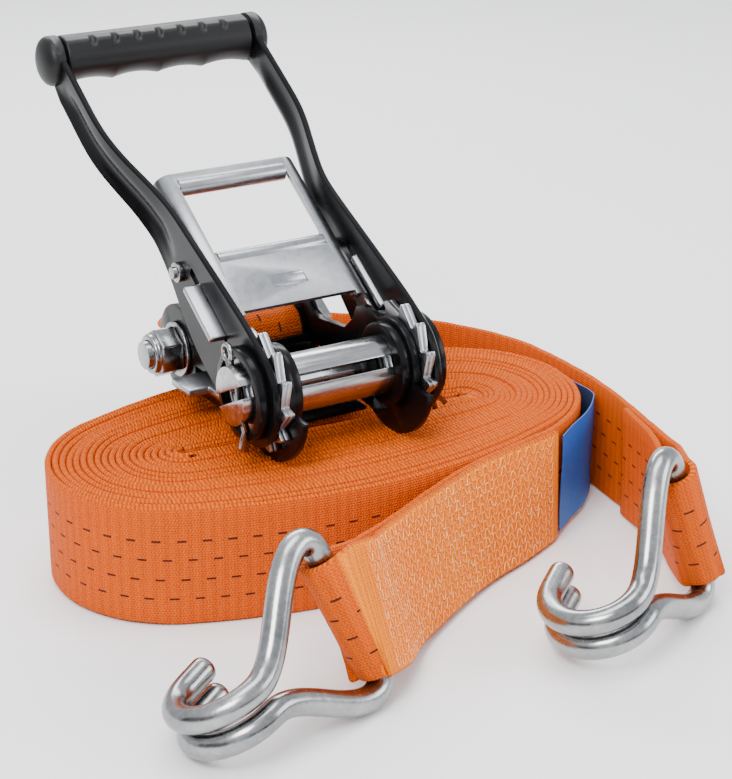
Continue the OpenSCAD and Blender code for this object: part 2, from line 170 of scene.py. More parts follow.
# A small builder for one node material
class Nodes:
    def __init__(self, name):
        self.material = bpy.data.materials.new(name)
        self.material.use_nodes = True
        self.tree = self.material.node_tree
        self.shader = self.tree.nodes["Principled BSDF"]

    def node(self, kind, inputs=None, **settings):
        made = self.tree.nodes.new("ShaderNode" + kind)
        for key, value in settings.items():
            setattr(made, key, value)
        for key, value in (inputs or {}).items():
            self.link(value, made.inputs[key])
        return made

    def link(self, value, socket):
        if isinstance(value, bpy.types.NodeSocket):
            self.tree.links.new(value, socket)
        else:
            socket.default_value = value

    def math(self, operation, a, b=0.0):
        return self.node("Math", {0: a, 1: b}, operation=operation).outputs[0]

    def add(self, a, b):
        return self.math("ADD", a, b)

    def times(self, a, b):
        return self.math("MULTIPLY", a, b)

    def wave(self, value, pitch, shift=0.0):
        # sin(2 pi value / pitch + shift)
        return self.math("SINE", self.add(self.times(value, 2 * math.pi / pitch), shift))

    def noise(self, vector, scale, detail=3.0, roughness=0.5):
        return self.node("TexNoise", {"Vector": vector, "Scale": scale, "Detail": detail,
                                      "Roughness": roughness}).outputs["Fac"]

    def ramp(self, fac, low, high, a=0.0, b=1.0):
        # Straight map of fac from low..high to a..b, held at both ends
        inputs = {"Value": fac, "From Min": low, "From Max": high, "To Min": a, "To Max": b}
        return self.node("MapRange", inputs, clamp=True).outputs["Result"]

    def mix(self, fac, a, b):
        made = self.node("Mix", {"Factor": fac}, data_type="RGBA")
        self.link(a, made.inputs[6])
        self.link(b, made.inputs[7])
        return made.outputs[2]

    def bump(self, height, strength, distance):
        made = self.node("Bump", {"Height": height, "Strength": strength, "Distance": distance})
        return made.outputs["Normal"]

    def objectPoint(self):
        return self.node("TexCoord").outputs["Object"]

    def finish(self, **sockets):
        for key, value in sockets.items():
            self.link(value, self.shader.inputs[key.replace("_", " ")])
        return self.material


webbing = {"pick": 1.25, "band": 4.5, "rib": 2.5, "end": 1.05, "edgeYarn": 1.7,
           "dashPitch": 9.75, "dashLength": 0.37, "dashHalf": 0.42,
           "rows": (14.0, 22.0, 30.5, 38.7), "phases": (0.0, 0.42, 0.12, 0.66),
           # The plain, seam and edge colours come in shaded and lit pairs: painted shade and light on the
           # weave
           "dark": (0.5, 0.052, 0.0, 1), "light": (0.82, 0.134, 0.0, 1), "patch": (0.64, 0.085, 0.0, 1),
           "seamDark": (0.85, 0.15, 0.0, 1), "seamLight": (1.0, 0.29, 0.0, 1),
           "edgeDark": (0.3, 0.032, 0.0, 1), "edgeLight": (0.8, 0.138, 0.0, 1),
           "dash": (0.012, 0.008, 0.012, 1)}


def makeWebbing():
    # weave holds x = length along the strap, y = place across it and z = 1 on the sewn layer, in millimetres
    w = webbing
    m = Nodes("orangeWebbing")
    weave = m.node("Attribute", attribute_name="weave").outputs["Vector"]
    x, y, sewn = m.node("SeparateXYZ", {0: weave}).outputs[:3]
    edge = m.node("Attribute", attribute_name="selvedge").outputs["Fac"]
    fine = m.noise(weave, 1.6, 4.0, 0.7)
    # Height of the weave: picks that lean from one warp end to the next, the ends, broad bands, seam ribs
    uneven = m.add(x, m.times(m.noise(weave, 0.35, 2.0), 0.9))
    picks = m.wave(uneven, w["pick"], m.times(m.wave(y, 2 * w["end"]), 1.4))
    height = m.add(m.times(picks, 0.5), m.times(m.wave(y, w["end"]), 0.35))
    height = m.add(height, m.times(m.wave(x, w["band"]), 0.3))
    height = m.add(height, m.times(m.times(m.wave(x, w["rib"]), sewn), 0.75))
    height = m.add(height, m.times(fine, 1.1))
    # Dashes: one mask for each of the four rows, 1 inside a dash
    dashes = 0.0
    for row, phase in zip(w["rows"], w["phases"]):
        near = m.math("LESS_THAN", m.math("ABSOLUTE", m.math("SUBTRACT", y, row)), w["dashHalf"])
        along = m.math("FRACT", m.add(m.math("DIVIDE", x, w["dashPitch"]), phase))
        dashes = m.add(m.times(near, m.math("LESS_THAN", along, w["dashLength"])), dashes)
    dashes = m.times(dashes, m.math("LESS_THAN", m.add(edge, sewn), 0.5))
    # Painted shade and light: the weave's low places take the shaded colours and its crests the lit ones, on
    # the plain, sewn and selvedge yarn
    shade = m.ramp(height, -0.6, 1.7)
    plain = m.mix(shade, w["dark"], w["light"])
    plain = m.mix(m.ramp(m.noise(weave, 0.05, 3.0), 0.3, 0.7, 0.0, 0.35), plain, w["patch"])
    colour = m.mix(sewn, plain, m.mix(shade, w["seamDark"], w["seamLight"]))
    # Selvedge: slanted yarn turns, with painted shade between them
    yarn = m.wave(uneven, w["edgeYarn"], m.times(y, 2.2))
    edgeShade = m.ramp(m.add(yarn, m.times(fine, 1.6)), -0.8, 2.0)
    edgeColour = m.mix(edgeShade, w["edgeDark"], w["edgeLight"])
    colour = m.mix(m.ramp(edge, 0.35, 0.9), colour, edgeColour)
    colour = m.mix(m.times(dashes, 0.93), colour, w["dash"])
    normal = m.bump(m.add(height, m.times(m.times(yarn, edge), 0.5)), 0.75, 0.00042)
    m.shader.inputs["Specular IOR Level"].default_value = 0.1
    return m.finish(Base_Color=colour, Roughness=m.ramp(height, -1, 2, 0.72, 0.52), Normal=normal)


def makeThread(name, plain, glint):
    m = Nodes(name)
    point = m.objectPoint()
    tone = m.noise(point, 900.0, 2.0)
    # Painted highlights: random patches take the glint colour, for light caught on the thread where it
    # crosses the ribs
    patch = m.ramp(m.noise(point, 230.0, 3.0), 0.5, 0.6, 0.1, 1.0)
    colour = m.mix(m.times(patch, m.ramp(tone, 0.3, 0.7)), plain, glint)
    m.shader.inputs["Sheen Weight"].default_value = 0.2
    return m.finish(Base_Color=colour, Roughness=0.45, Normal=m.bump(tone, 0.4, 0.0002))


def makeMetal(name, dark, light, roughness, scale, brushed=(1, 1, 1)):
    # brushed stretches the grain: a larger number makes it finer along that axis
    m = Nodes(name)
    point = m.node("Mapping", {"Vector": m.objectPoint(), "Scale": brushed}).outputs[0]
    broad = m.noise(point, scale, 3.0)
    fine = m.noise(point, scale * 14, 3.0, 0.6)
    colour = m.mix(m.ramp(m.add(broad, m.times(fine, 0.4)), 0.5, 0.95), dark, light)
    rough = m.add(m.ramp(broad, 0.3, 0.7, roughness - 0.05, roughness + 0.06),
                  m.ramp(fine, 0.3, 0.7, -0.02, 0.05))
    m.shader.inputs["Metallic"].default_value = 1.0
    return m.finish(Base_Color=colour, Roughness=rough, Normal=m.bump(fine, 0.25, 0.00003))


def makePaint(name, base, roughness, coat, shine, grain):
    m = Nodes(name)
    point = m.objectPoint()
    peel = m.noise(point, 420.0, 2.0)
    broad = m.noise(point, 24.0, 3.0)
    dust = m.ramp(m.noise(point, 1500.0, 2.0, 0.7), 0.62, 0.8)
    colour = m.mix(m.ramp(broad, 0.35, 0.7), base, tuple(c * 1.5 for c in base[:3]) + (1,))
    colour = m.mix(m.times(dust, 0.04), colour, (0.16, 0.16, 0.17, 1))
    m.shader.inputs["Coat Weight"].default_value = coat
    m.shader.inputs["Specular IOR Level"].default_value = shine
    m.shader.inputs["Coat Roughness"].default_value = 0.12
    return m.finish(Base_Color=colour, Roughness=m.ramp(broad, 0.3, 0.7, roughness - 0.05, roughness + 0.08),
                    Normal=m.bump(peel, grain, 0.00012))


def makeTag():
    m = Nodes("blueTag")
    face = m.node("Attribute", attribute_name="outside").outputs["Fac"]
    point = m.objectPoint()
    thread = m.wave(m.node("SeparateXYZ", {0: point}).outputs[2], 0.0006)
    fine = m.noise(point, 700.0, 3.0)
    height = m.add(m.times(thread, 0.4), fine)
    blue = m.mix(m.ramp(height, 0.0, 1.1), (0.0, 0.06, 0.34, 1), (0.0, 0.16, 0.62, 1))
    navy = m.mix(m.ramp(height, 0.0, 1.1), (0.012, 0.03, 0.085, 1), (0.03, 0.07, 0.17, 1))
    m.shader.inputs["Specular IOR Level"].default_value = 0.3
    return m.finish(Base_Color=m.mix(face, navy, blue), Roughness=0.5, Normal=m.bump(height, 0.35, 0.0001))


orange = makeWebbing()
# Each thread's second colour is a painted glint
paleThread = makeThread("paleThread", (0.95, 0.24, 0.002, 1), (1.0, 0.6, 0.24, 1))
orangeThread = makeThread("orangeThread", (0.6, 0.07, 0.0, 1), (0.8, 0.14, 0.0, 1))
wireZinc = makeMetal("zincWire", (0.2, 0.205, 0.21, 1), (0.42, 0.425, 0.43, 1), 0.22, 28.0)
sheetZinc = makeMetal("zincSheet", (0.29, 0.3, 0.32, 1), (0.45, 0.46, 0.48, 1), 0.3, 22.0)
turnedSteel = makeMetal("turnedSteel", (0.29, 0.29, 0.3, 1), (0.5, 0.5, 0.51, 1), 0.2, 20.0, (1, 14, 14))
springSteel = makeMetal("springSteel", (0.4, 0.4, 0.41, 1), (0.62, 0.62, 0.63, 1), 0.3, 60.0)
blackPaint = makePaint("blackPaint", (0.0025, 0.0025, 0.003, 1), 0.24, 0.05, 0.13, 0.1)
gripPlastic = makePaint("gripPlastic", (0.003, 0.003, 0.0035, 1), 0.42, 0.0, 0.3, 0.4)
tagBlue = makeTag()
print("stage: materials")

# Webbing

strap = {"width": 50.0, "thickness": 3.0, "columns": 9,
         "rollLength": 118.0, "rollWidth": 64.0, "rollEnd": 50.0, "core": 65.5,
         "turns": 19.05, "stations": 112, "outset": 1.8, "firstPitch": 3.15, "pitch": 2.74}


def ribbon(name, rows, material, sewnFrom=None):
    # rows: centre xyz, up xyz, thickness; the section is a rounded bar, wavy at both selvedges
    n = len(rows)
    centre, thick = rows[:, :3], rows[:, 6:7]
    heading = unit(np.gradient(centre, axis=0))
    up = unit(rows[:, 3:6] - heading * np.sum(rows[:, 3:6] * heading, 1, keepdims=True))
    side = np.cross(heading, up)
    length = np.concatenate([[0], np.cumsum(np.linalg.norm(np.diff(centre, axis=0), axis=1))])
    c = strap["columns"]
    flat = np.linspace(-1, 1, c)
    v = np.concatenate([flat, [1.04, 1.055, 1.04], flat[::-1], [-1.04, -1.055, -1.04]])
    b = np.concatenate([np.ones(c), [0.62, 0, -0.62], -np.ones(c), [-0.62, 0, 0.62]])
    v = v / 1.055
    edge = np.concatenate([np.zeros(c), [0.9, 1, 0.9], np.zeros(c), [0.9, 1, 0.9]])
    edge[[0, c - 1, c + 3, 2 * c + 2]] = 0.3
    rng = np.random.default_rng(7)
    # Edge wave: three sines of the length, under a quarter of a millimetre together
    wave = sum(a * np.sin(length / p + rng.uniform(0, 6)) for a, p in ((0.22, 9.0), (0.14, 3.7), (0.1, 1.9)))
    half = strap["width"] / 2
    offset = v[None, :] * half + np.where(np.abs(v) > 0.9, wave[:, None] * np.sign(v)[None, :] * 0.5, 0)
    offset = np.clip(offset, -half, None)
    lift = b[None, :] * thick / 2
    points = centre[:, None] + up[:, None] * offset[..., None] + side[:, None] * lift[..., None]
    sewn = np.zeros((n, len(v)))
    if sewnFrom is not None:
        sewn[sewnFrom:, :] = 1.0
    across = np.tile(half - v * half, (n, 1))
    weave = np.stack([np.repeat(length[:, None], len(v), 1), across, sewn], -1)
    piece = makeMesh(name, points.reshape(-1, 3), skinQuads(n, len(v)), material,
                     {"weave": weave.reshape(-1, 3), "selvedge": np.tile(edge, (n, 1)).ravel()})
    return piece, {"centre": centre, "up": up, "side": side, "length": length}


def rollRows():
    # k counts the turns from the outside in. The share t of the way to the core is 0 on the outline:
    # t = (firstPitch k - outset) / span on the first turn, then one pitch further in for each turn
    s = strap
    k = np.arange(0, s["turns"], 1 / s["stations"])
    span = s["rollLength"] - s["core"]
    inward = np.where(k < 1, s["firstPitch"] * k, s["firstPitch"] + s["pitch"] * (k - 1)) - s["outset"]
    t = np.minimum(inward / span, 0.985)
    a, b = s["core"] + span * (1 - t), s["rollWidth"] * (1 - t) + 0.5
    e = s["rollEnd"] * (1 - t) + 0.4
    cx = a - e
    big = (cx ** 2 + b ** 2 - e ** 2) / (2 * (b - e))
    sideAngle = np.arctan2(cx, big - b)
    endAngle = np.pi / 2 - sideAngle
    # One turn is four arcs: right end, back side, left end, front side
    q = (k + 0.125) % 1 * 4
    arc, f = np.floor(q).astype(int), q % 1 * 2 - 1
    onEnd = f * endAngle
    onSide = f * sideAngle
    x = np.choose(arc, [cx + e * np.cos(onEnd), -big * np.sin(onSide),
                        -cx - e * np.cos(onEnd), big * np.sin(onSide)])
    y = np.choose(arc, [e * np.sin(onEnd), b - big + big * np.cos(onSide),
                        -e * np.sin(onEnd), big - b - big * np.cos(onSide)])
    # The core lies a little askew in the roll
    skew = np.clip(t, 0, 1) ** 1.5
    angle = -0.06 * skew
    askewX = x * np.cos(angle) - y * np.sin(angle) + 3.0 * skew
    askewY = x * np.sin(angle) + y * np.cos(angle) - 2.5 * skew
    # Turns stand at slightly different heights, within 0.8 mm of half a millimetre above the outer one
    lift = 0.5 + 0.45 * np.sin(k * 5.1) + 0.35 * np.sin(k * 2.3 + 1) * np.cos(k * 11.7)
    z = s["width"] / 2 + lift * np.clip(k * 3, 0, 1)
    thick = 2.62 + 0.34 * (np.abs(askewY) / np.maximum(b, 1)) ** 2
    thick = np.where(k < 0.3, 3.0 + (thick - 3.0) * k / 0.3, thick)
    up = np.tile([0.0, 0.0, 1.0], (len(k), 1))
    return np.column_stack([askewX, askewY, z, up, thick])[::-1]


leadPlan = {"bar": [-60, -127, 37.5], "turn": [-21, -14.5, 26.5], "loop": 7.8, "drop": -2.2, "side": 1,
            "foldAt": 4.0, "lean": 12,
            "route": [[119.8, 0, 25], [117.5, -15, 25], [110, -30.5, 25], [97, -43.5, 25], [79, -54.5, 25],
                      [56, -63, 25], [32, -71, 25], [6, -84, 25], [-20, -99.5, 26], [-42, -113, 28]],
            "ups": [[0, 0, 1], [0, 0, 1], [0, 0, 1], [0, 0, 1], [0, 0.04, 1], [0, 0.16, 1], [-0.02, 0.22, 1],
                    [-0.06, 0.26, 1], [-0.14, 0.28, 1], [-0.25, 0.28, 1]]}
shortPlan = {"bar": [90, -132, 38.2], "turn": [-12, -15.5, 34], "loop": 7.8, "drop": -2.2, "side": -1,
             "foldAt": 13.4, "lean": 36,
             "route": [[-6, 73, 77], [-6, 83, 71.5], [-4, 93, 63], [2, 104, 53], [14, 113, 43],
                       [32, 117, 34.5],
                       [56, 114, 28], [82, 101, 25.5], [103, 82, 25.2], [118, 59, 25.2], [126, 35, 25.2],
                       [128.5, 10, 25.2], [128, -16, 25.2], [124.5, -44, 25.2], [118, -74, 26.5],
                       [111.4, -104.6, 29.8]],
             "ups": [[-1, 0, 0], [-1, 0, 0.05], [-1, 0.1, 0.35], [-0.8, 0.2, 0.7], [-0.5, 0.1, 0.95],
                     [-0.2, 0, 1],
                     [-0.05, 0, 1], [0, 0, 1], [0, 0, 1], [0, 0, 1], [0, 0, 1], [0, 0, 1], [0, 0, 1],
                     [0, 0, 1],
                     [-0.05, 0, 1], [-0.15, 0, 1]]}


def strapEnd(plan):
    # Outgoing run, loop round the hook's back bar, and the folded layer back along the run
    steps = 12
    out = smoothPath(plan["route"], steps)
    ups = unit(smoothPath(plan["ups"], steps))
    a = np.radians(np.arange(100, 261, 8) + plan["side"] * plan["lean"])
    r = plan["loop"]
    local = np.stack([r * np.cos(a), plan["side"] * r * np.sin(a), np.full(len(a), float(plan["drop"]))], 1)
    loop = np.array(plan["bar"]) + turned(local, plan["turn"])
    barUp = np.tile(turned([0, 0, 1], plan["turn"]), (len(a), 1))
    first = int(plan["foldAt"] * steps)
    heading = unit(np.gradient(out, axis=0))
    away = np.cross(heading, ups) * plan["side"]
    # The layers open towards the bar: gap = 3.15 + 6 (1 - d / 35)^2 at d mm from the end of the run
    d = np.linalg.norm(out - out[-1], axis=1)
    gap = strap["thickness"] + 0.15 + 6 * np.clip(1 - d / 35, 0, 1) ** 2
    back = (out - away * gap[:, None])[first:][::-1]
    centre = np.vstack([out, loop, back])
    up = np.vstack([ups, barUp, ups[first:][::-1]])
    joined = relax(evenly(np.column_stack([centre, up]), 1.7), 4)
    return np.column_stack([joined, np.full(len(joined), strap["thickness"])])


def nearestRow(rows, point):
    return int(np.argmin(np.linalg.norm(rows[:, :3] - np.array(point), axis=1)))


seam = {"span": 21.5, "step": 0.43, "stitch": 5.2, "swing": 1.65, "steep": 2.6, "thread": 0.26,
        "sunk": 0.02, "arch": 0.3, "archPitch": 2.5}


def stitches(name, track, start, end, lanes, material):
    # Thread on the face of the sewn layer: v = lane + swing clip(steep triangle(s / stitch)), which runs
    # straight between its crossings, so that those of all the lanes line up in ribs
    parts = []
    rng = np.random.default_rng(11)
    s = np.arange(start, end, seam["step"])
    at = {key: np.stack([np.interp(s, track["length"], track[key][:, i]) for i in range(3)], 1)
          for key in ("centre", "up", "side")}
    arch = seam["arch"] * np.abs(np.sin(s * np.pi / seam["archPitch"]))
    face = strap["thickness"] / 2 - seam["sunk"] + arch
    for lane in np.linspace(-seam["span"], seam["span"], lanes):
        triangle = np.abs((s / seam["stitch"] + rng.normal(0, 0.05)) % 1 * 2 - 1) * 2 - 1
        swing = np.clip(triangle * seam["steep"], -1, 1) * seam["swing"]
        v = lane + swing + rng.normal(0, 0.07, len(s))
        path = at["centre"] + unit(at["up"]) * v[:, None] + unit(at["side"]) * face[:, None]
        rings = tubeRings(path, np.full(len(path), seam["thread"]), 5, (0, 0, 1))
        parts.append((rings.reshape(-1, 3), skinQuads(len(path), 5)))
    return place(joinMeshes(name, parts, material), "straps", "orange_webbing")


leadRows = strapEnd(leadPlan)
roll = rollRows()
loopAt = len(roll) + nearestRow(leadRows, leadPlan["bar"])
longStrap, longTrack = ribbon("longStrap", np.vstack([roll, leadRows[1:]]), orange, sewnFrom=loopAt + 4)
place(longStrap, "straps", "orange_webbing", "long_strap_roll", "long_strap_lead")
longAt = longTrack["length"]
longLength = longAt[-1]
stitches("leadStitches", longTrack, longAt[loopAt] + 19, longLength - 4, 13, paleThread)
print("long strap length in mm", round(longLength), "in the roll", round(longAt[len(roll)]))

# The short strap starts with its loop round the anchor bolt
eyeRadius = 9.9
bolt = spindleAt + np.array([0, 81.0, -10.0])
around = np.radians(np.arange(300, 79, -10))
eye = bolt + np.stack([np.zeros(len(around)), eyeRadius * np.cos(around), eyeRadius * np.sin(around)], 1)
eyeRows = np.column_stack([eye, np.tile([-1.0, 0, 0], (len(eye), 1)), np.full(len(eye), strap["thickness"])])
shortRows = relax(evenly(np.vstack([eyeRows, strapEnd(shortPlan)]), 1.7), 3)
shortStrap, shortTrack = ribbon("shortStrap", shortRows, orange)
place(shortStrap, "straps", "orange_webbing", "short_strap")
shortLength = shortTrack["length"][-1]
stitches("shortStitches", shortTrack, shortLength - 12, shortLength - 3, 9, orangeThread)
print("short strap length in mm", round(shortLength))

# Folded tag under the cut end: an inner flap near the roll, a fold and a free outer flap
tag = {"centre": (68.0, 0.0), "inner": 55.2, "from": -75, "to": -27, "tip": -9, "half": 22.0,
       "cut": -55, "bulge": 1.05, "standOff": 4.4}
# Near flap: r = inner + bulge ((cut - a) / 10)^2 before the cut end, + standOff k^2 towards the fold
nearA = np.linspace(tag["from"], tag["to"], 40)
beforeCut = np.clip(tag["cut"] - nearA, 0, 99) / 10
nearK = (nearA - nearA[0]) / (tag["to"] - tag["from"])
nearR = tag["inner"] + tag["bulge"] * beforeCut ** 2 + tag["standOff"] * nearK ** 2
# Far flap: on from the fold to the roll, r falls by standOff as a smooth step
farK = np.linspace(0.04, 1, 16)
farA = tag["to"] + (tag["tip"] - tag["to"]) * farK
farR = nearR[-1] - tag["standOff"] * farK * farK * (3 - 2 * farK)
ringA = np.radians(np.concatenate([nearA, farA]))
ringR = np.concatenate([nearR, farR])
tagPath = np.stack([tag["centre"][0] + ringR * np.cos(ringA), tag["centre"][1] + ringR * np.sin(ringA),
                    np.full(len(ringA), 25.0)], 1)
tagHeading = unit(np.gradient(tagPath, axis=0))
tagSide = np.cross(tagHeading, [0, 0, 1.0])
levels = np.linspace(-1, 1, 9)
sway = 0.35 * np.sin(levels * 3)[None, :, None]
rise = np.array([0, 0, 1.0]) * (levels * tag["half"])[None, :, None]
front = tagPath[:, None] + rise + tagSide[:, None] * sway
section = np.concatenate([front + tagSide[:, None] * 0.22, (front - tagSide[:, None] * 0.22)[:, ::-1]], 1)
outside = np.concatenate([np.ones((len(tagPath), 9)), np.zeros((len(tagPath), 9))], 1)
labelTag = makeMesh("labelTag", section.reshape(-1, 3), skinQuads(len(tagPath), 18), tagBlue,
                    {"outside": outside.ravel()}, sharp=50)
place(labelTag, "straps", "blue_tag", "label_tag")

# Hooks

hook = {"wire": 5.0, "half": 33.0, "corner": 7.0, "shank": 52.0, "bend": 18.0, "gap": 5.7, "tip": 10.0,
        "sides": 32}


def hookHalf(s):
    h = hook
    corner = np.radians(np.linspace(0, 90, 14))
    k = np.linspace(0.04, 1, 26)
    bend = np.radians(np.linspace(5, 180, 36))
    tip = np.linspace(0, h["tip"], 6)[1:]
    path = [np.stack([np.zeros(12), np.zeros(12), np.linspace(0, h["half"] - h["corner"], 12)], 1)[:-1],
            np.stack([h["corner"] * (np.cos(corner) - 1), corner * 0,
                      h["half"] - h["corner"] + h["corner"] * np.sin(corner)], 1),
            np.stack([-h["corner"] - (h["shank"] - h["corner"]) * k, k * 0,
                      h["half"] + (h["gap"] - h["half"]) * k * k * (3 - 2 * k)], 1),
            np.stack([-h["shank"] - h["bend"] * np.sin(bend), h["bend"] * (1 - np.cos(bend)),
                      np.full(len(bend), h["gap"])], 1),
            np.stack([-h["shank"] + tip, np.full(5, 2 * h["bend"]), np.full(5, h["gap"])], 1)]
    path = np.vstack(path)
    path[:, 2] *= s
    return path


def makeHook(name, plan, body, node):
    h = hook
    core = np.vstack([hookHalf(-1)[::-1], hookHalf(1)[1:]])
    core = relax(evenly(core, 1.6), 2)
    # Rounded tips: the last rings shrink as r sqrt(1 - d^2) over two thirds of a wire radius
    d = np.array([0.35, 0.6, 0.8, 0.93, 0.995])
    dome = h["wire"] * 0.66
    start = core[0] + unit(core[0] - core[1]) * dome * d[::-1, None]
    finish = core[-1] + unit(core[-1] - core[-2]) * dome * d[:, None]
    path = np.vstack([start, core, finish])
    shrink = h["wire"] * np.sqrt(1 - d ** 2)
    radii = np.concatenate([shrink[::-1], np.full(len(core), h["wire"]), shrink])
    world = np.array(plan["bar"]) + turned(path, plan["turn"])
    piece = tube(name, world, radii, h["sides"], (0.1, 0.3, 1), wireZinc)
    return place(piece, body, "zinc_wire", node)


longHook = makeHook("longHook", leadPlan, "long_hook", "long_strap_hook")
shortHook = makeHook("shortHook", shortPlan, "short_hook", "short_strap_hook")
print("stage: hooks")

# Grip

grip = {"reach": 191.0, "radius": 10.6, "half": 44.6, "scallop": 1.7, "cell": 22.0, "notch": 0.9, "sides": 72}


def gripPoint(x, angle, radius):
    # angle 0 points up from the handle's plane, 90 degrees away from the spindle
    return onHandle(np.stack([x, grip["reach"] + radius * np.sin(angle), radius * np.cos(angle)], -1))


x = np.linspace(-grip["half"], grip["half"], 200)
angle = np.linspace(0, 2 * np.pi, grip["sides"], endpoint=False)
gx, ga = np.meshgrid(x, angle, indexing="ij")
# Finger scallops: in each of four cells the underside is cut 1 - c^2 deep, strongest at 196 degrees
c = (gx / grip["cell"]) % 1 * 2 - 1
under = np.clip(np.cos(ga - math.radians(196)), 0, 1) ** 0.8
radius = grip["radius"] - grip["scallop"] * (1 - c ** 2) * under * (np.abs(gx) < 2 * grip["cell"])
# Raised bead along the top with seven notches
top = np.exp(-((np.angle(np.exp(1j * (ga - math.radians(-4)))) / 0.16) ** 2))
notch = np.clip(np.cos(gx * 2 * np.pi / 10.6) * 3 - 1.6, 0, 1) * (np.abs(gx) < 41)
radius = radius + top * (0.55 - grip["notch"] * 1.5 * notch)
ends = np.clip((grip["half"] - np.abs(gx)) / 1.0, 0, 1)
radius = radius - 0.8 * (1 - np.sqrt(1 - (1 - ends) ** 2))
gripSleeve = makeMesh("gripSleeve", gripPoint(gx, ga, radius).reshape(-1, 3),
                      skinQuads(len(x), grip["sides"]), gripPlastic, sharp=50)
place(gripSleeve, "handle", "grip_plastic", "grip")


def makeCap(name, s, node):
    # A short collar, then a dome: x = 49.6 + 5.2 sin q, r = 11 cos(q)^0.8
    q = np.radians(np.linspace(0, 88, 14))
    cx = np.concatenate([[46.4, 46.0, 46.2, 49.6], 49.6 + 5.2 * np.sin(q)])
    cr = np.concatenate([[9.2, 10.2, 10.9, 11.0], 11.0 * np.cos(q) ** 0.8])
    px, pa = np.meshgrid(cx * s, angle if s < 0 else angle[::-1], indexing="ij")
    points = gripPoint(px, pa, np.repeat(cr[:, None], grip["sides"], 1))
    piece = makeMesh(name, points.reshape(-1, 3), skinQuads(len(cx), grip["sides"]), gripPlastic, sharp=60)
    return place(piece, "handle", "grip_plastic", node)


gripCapLeft = makeCap("gripCapLeft", -1, "grip_cap_left")
gripCapRight = makeCap("gripCapRight", 1, "grip_cap_right")
print("stage: grip")

# Handle plates

plate = {"inner": 35.2, "thickness": 3.0, "ease": 0.7,
         "low": [[-22.5, 0], [0, -22.5], [20, -23.5], [38, -23.5], [52, -21.5], [64, -18], [76, -14],
                 [90, -10.5],
                 [106, -9], [126, -9], [150, -9], [191, -8.5]],
         "high": [[0, 22.5], [18, 21.5], [45, 18], [70, 14.5], [96, 11], [120, 9], [150, 8], [191, 7.5]],
         "bow": [[-30, 0], [88, 0], [96, 0.8], [104, 2.6], [128, 8.8], [136, 10.2], [144, 10.8], [205, 10.8]]}


